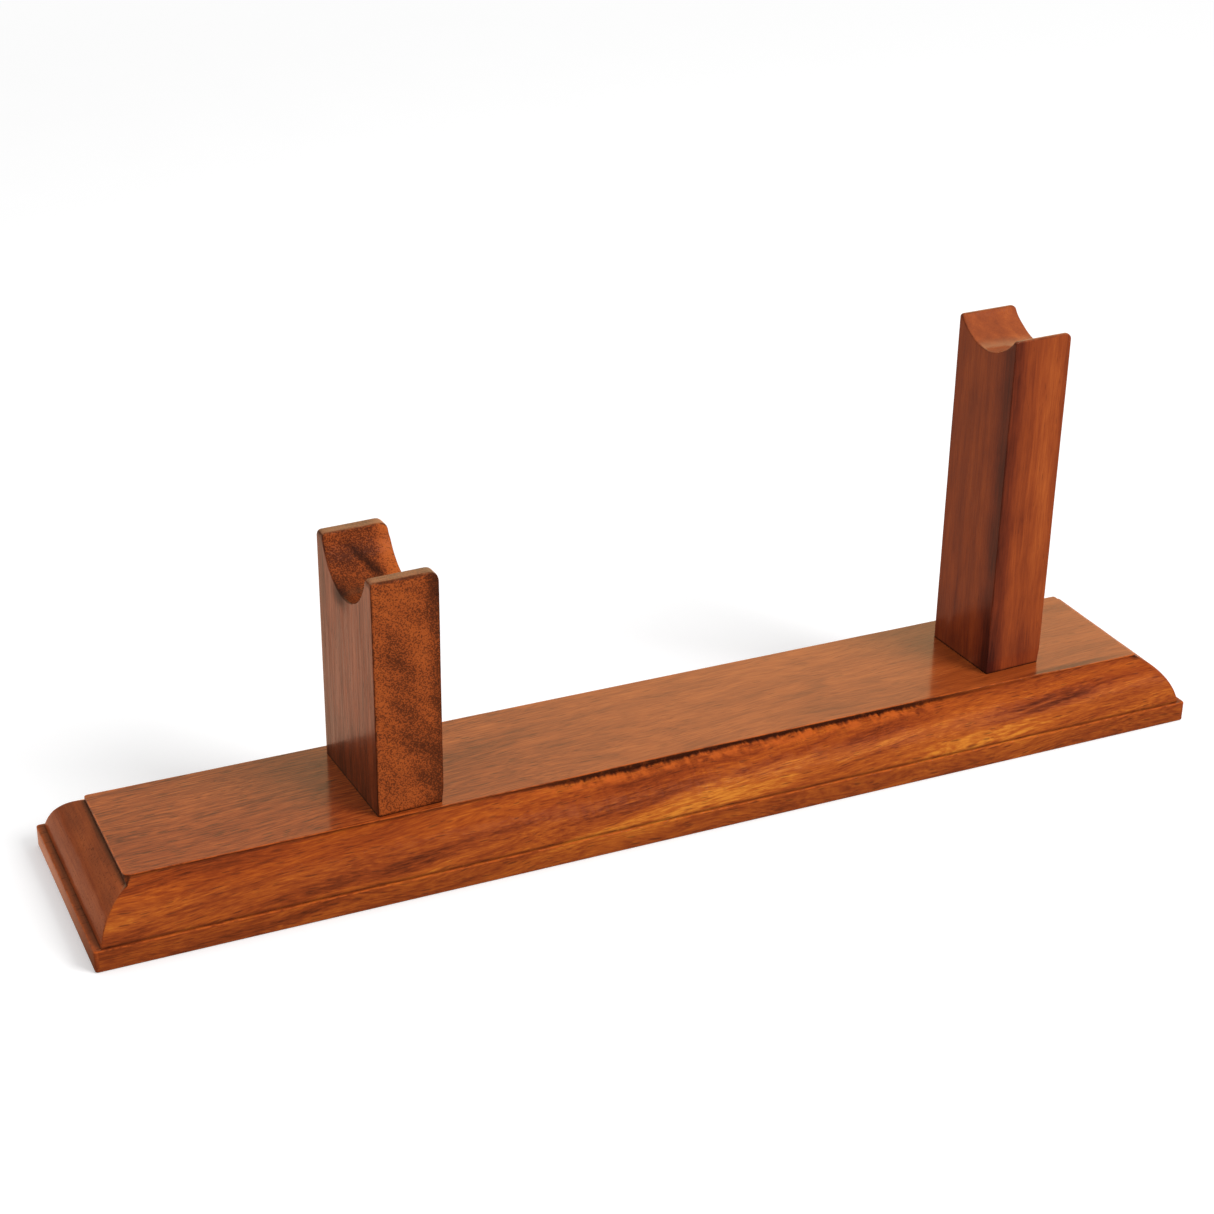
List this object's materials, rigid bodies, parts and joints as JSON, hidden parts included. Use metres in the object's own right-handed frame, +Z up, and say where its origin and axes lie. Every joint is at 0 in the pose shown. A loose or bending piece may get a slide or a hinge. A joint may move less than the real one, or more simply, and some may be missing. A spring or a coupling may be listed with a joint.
{
  "type": "razor stand",
  "caption": "Wooden cradle stand: a moulded rectangular plinth carrying a short and a tall post, each with a half-round saddle cut across its top.",
  "frame": {"origin": "centre of the plinth's underside", "axes": "+Z up, +X along the plinth towards the tall post, +Y towards the back"},
  "size_m": [0.33, 0.066, 0.1224],
  "materials": {
    "plinth_wood": "red-brown stain under satin lacquer",
    "short_post_wood": "red-brown stain under satin lacquer",
    "tall_post_wood": "red-brown stain under satin lacquer",
    "screw_steel": "zinc plated"
  },
  "bodies": {
    "root": {"plinth": "plinth_wood", "short_post": "short_post_wood", "tall_post": "tall_post_wood", "short_post_front_screw": "screw_steel", "short_post_rear_screw": "screw_steel", "tall_post_front_screw": "screw_steel", "tall_post_rear_screw": "screw_steel"}
  },
  "joints": []
}
